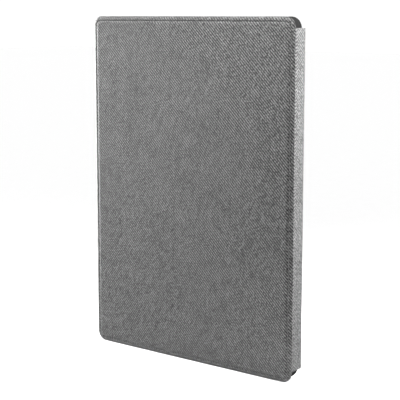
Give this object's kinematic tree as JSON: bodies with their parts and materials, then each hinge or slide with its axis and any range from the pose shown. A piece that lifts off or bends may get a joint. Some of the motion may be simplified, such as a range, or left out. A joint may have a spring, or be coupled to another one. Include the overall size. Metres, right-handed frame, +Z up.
{
  "type": "tablet keyboard case",
  "caption": "Closed folio case for a tablet: twill-covered keyboard cover, fabric spine, hard tablet tray with a hinged kickstand, sprung keys, trackpad and buttons.",
  "frame": {"origin": "centre of the closed case's footprint, on the surface that it stands on", "axes": "+Z up the case, +X towards the spine, +Y from the keyboard cover towards the back panel"},
  "size_m": [0.185, 0.0176, 0.256],
  "materials": {
    "outer_fabric": "grey heathered twill",
    "inner_fabric": "dark microfibre",
    "stiff_board": "fibreglass board",
    "dark_shell": "fine-textured dark charcoal",
    "soft_lip": "soft-touch black",
    "keycap": "satin black",
    "touch_surface": "smooth satin",
    "steel": "plain",
    "magnet": "nickel-plated",
    "printed_circuit": "solder mask",
    "membrane": "polyester film",
    "battery_foil": "foil pouch",
    "clear_plastic": "translucent"
  },
  "bodies": {
    "keyboard_base": {"front_cover_fabric": "outer_fabric", "front_cover_board": "stiff_board", "front_cover_lining": "inner_fabric", "front_hinge_fabric": "outer_fabric", "base_shell": "dark_shell", "keyboard_deck": "dark_shell", "key_support_plate": "steel", "membrane_circuit": "membrane", "rubber_domes": "soft_lip", "scissor_levers": "clear_plastic", "circuit_board": "printed_circuit", "battery_cells": "battery_foil", "usb_c_socket": "steel", "status_lights": "clear_plastic", "deck_screws": "steel", "deck_bumpers": "soft_lip", "cover_magnets": "magnet", "trackpad_switch": "steel"},
    "spine": {"spine_fabric": "outer_fabric", "spine_board": "stiff_board", "spine_lining": "inner_fabric"},
    "tray": {"tray_shell": "dark_shell", "tray_lip_frame": "soft_lip", "tray_lining": "inner_fabric", "tray_magnets": "magnet", "anchor_strip": "outer_fabric", "back_hinge_fabric": "outer_fabric", "upper_back_board": "stiff_board", "upper_back_fabric": "outer_fabric", "camera_ring": "dark_shell", "hinge_fixed_leaves": "steel", "hinge_pins": "steel", "hinge_screws": "steel"},
    "kickstand": {"hinge_moving_leaves": "steel", "hinge_rivets": "steel", "kickstand_board": "stiff_board", "kickstand_fabric": "outer_fabric", "kickstand_foot": "soft_lip"},
    "trackpad": {"trackpad": "touch_surface"},
    "power_switch_slider": {"power_switch_slider": "keycap"},
    "volume_up_button": {"volume_up_button": "soft_lip"},
    "volume_down_button": {"volume_down_button": "soft_lip"},
    "power_button": {"power_button": "soft_lip"},
    "function_keys": {"function_keys": "keycap"},
    "number_keys": {"number_keys": "keycap"},
    "backspace_key": {"backspace_key": "keycap"},
    "tab_key": {"tab_key": "keycap"},
    "upper_letter_keys": {"upper_letter_keys": "keycap"},
    "caps_lock_key": {"caps_lock_key": "keycap"},
    "home_letter_keys": {"home_letter_keys": "keycap"},
    "return_key": {"return_key": "keycap"},
    "left_shift_key": {"left_shift_key": "keycap"},
    "lower_letter_keys": {"lower_letter_keys": "keycap"},
    "right_shift_key": {"right_shift_key": "keycap"},
    "modifier_keys": {"modifier_keys": "keycap"},
    "space_bar": {"space_bar": "keycap"},
    "arrow_keys": {"arrow_keys": "keycap"}
  },
  "joints": [
    {"name": "cover_hinge", "type": "hinge", "parent": "keyboard_base", "child": "spine", "pos_m": [0.0915, -0.0048, 0.128], "axis": [0, 0, -1], "range_deg": [0, 95]},
    {"name": "tray_hinge", "type": "hinge", "parent": "spine", "child": "tray", "pos_m": [0.0915, 0.0084, 0.128], "axis": [0, 0, -1], "range_deg": [0, 95]},
    {"name": "kickstand_hinge", "type": "hinge", "parent": "tray", "child": "kickstand", "pos_m": [-0.0005, 0.0079, 0.128], "axis": [0, 0, 1], "range_deg": [0, 100]},
    {"name": "function_press", "type": "slide", "parent": "keyboard_base", "child": "function_keys", "axis": [0, -1, 0], "range_m": [0, 0.001], "stiffness_N_per_m": 600, "springref_m": -0.0004},
    {"name": "number_press", "type": "slide", "parent": "keyboard_base", "child": "number_keys", "axis": [0, -1, 0], "range_m": [0, 0.001], "stiffness_N_per_m": 600, "springref_m": -0.0004},
    {"name": "backspace_press", "type": "slide", "parent": "keyboard_base", "child": "backspace_key", "axis": [0, -1, 0], "range_m": [0, 0.001], "stiffness_N_per_m": 600, "springref_m": -0.0004},
    {"name": "tab_press", "type": "slide", "parent": "keyboard_base", "child": "tab_key", "axis": [0, -1, 0], "range_m": [0, 0.001], "stiffness_N_per_m": 600, "springref_m": -0.0004},
    {"name": "upper_letter_press", "type": "slide", "parent": "keyboard_base", "child": "upper_letter_keys", "axis": [0, -1, 0], "range_m": [0, 0.001], "stiffness_N_per_m": 600, "springref_m": -0.0004},
    {"name": "caps_lock_press", "type": "slide", "parent": "keyboard_base", "child": "caps_lock_key", "axis": [0, -1, 0], "range_m": [0, 0.001], "stiffness_N_per_m": 600, "springref_m": -0.0004},
    {"name": "home_letter_press", "type": "slide", "parent": "keyboard_base", "child": "home_letter_keys", "axis": [0, -1, 0], "range_m": [0, 0.001], "stiffness_N_per_m": 600, "springref_m": -0.0004},
    {"name": "return_press", "type": "slide", "parent": "keyboard_base", "child": "return_key", "axis": [0, -1, 0], "range_m": [0, 0.001], "stiffness_N_per_m": 600, "springref_m": -0.0004},
    {"name": "left_shift_press", "type": "slide", "parent": "keyboard_base", "child": "left_shift_key", "axis": [0, -1, 0], "range_m": [0, 0.001], "stiffness_N_per_m": 600, "springref_m": -0.0004},
    {"name": "lower_letter_press", "type": "slide", "parent": "keyboard_base", "child": "lower_letter_keys", "axis": [0, -1, 0], "range_m": [0, 0.001], "stiffness_N_per_m": 600, "springref_m": -0.0004},
    {"name": "right_shift_press", "type": "slide", "parent": "keyboard_base", "child": "right_shift_key", "axis": [0, -1, 0], "range_m": [0, 0.001], "stiffness_N_per_m": 600, "springref_m": -0.0004},
    {"name": "modifier_press", "type": "slide", "parent": "keyboard_base", "child": "modifier_keys", "axis": [0, -1, 0], "range_m": [0, 0.001], "stiffness_N_per_m": 600, "springref_m": -0.0004},
    {"name": "space_bar_press", "type": "slide", "parent": "keyboard_base", "child": "space_bar", "axis": [0, -1, 0], "range_m": [0, 0.001], "stiffness_N_per_m": 600, "springref_m": -0.0004},
    {"name": "arrow_press", "type": "slide", "parent": "keyboard_base", "child": "arrow_keys", "axis": [0, -1, 0], "range_m": [0, 0.001], "stiffness_N_per_m": 600, "springref_m": -0.0004},
    {"name": "trackpad_click", "type": "slide", "parent": "keyboard_base", "child": "trackpad", "axis": [0, -1, 0], "range_m": [0, 0.0003], "stiffness_N_per_m": 3000, "springref_m": -0.0003},
    {"name": "power_switch_slide", "type": "slide", "parent": "keyboard_base", "child": "power_switch_slider", "axis": [0, 0, 1], "range_m": [0, 0.0036]},
    {"name": "volume_up_press", "type": "slide", "parent": "tray", "child": "volume_up_button", "axis": [1, 0, 0], "range_m": [0, 0.0004], "stiffness_N_per_m": 1500, "springref_m": -0.0003},
    {"name": "volume_down_press", "type": "slide", "parent": "tray", "child": "volume_down_button", "axis": [1, 0, 0], "range_m": [0, 0.0004], "stiffness_N_per_m": 1500, "springref_m": -0.0003},
    {"name": "power_press", "type": "slide", "parent": "tray", "child": "power_button", "axis": [0, 0, 1], "range_m": [0, 0.0004], "stiffness_N_per_m": 1500, "springref_m": -0.0003}
  ]
}
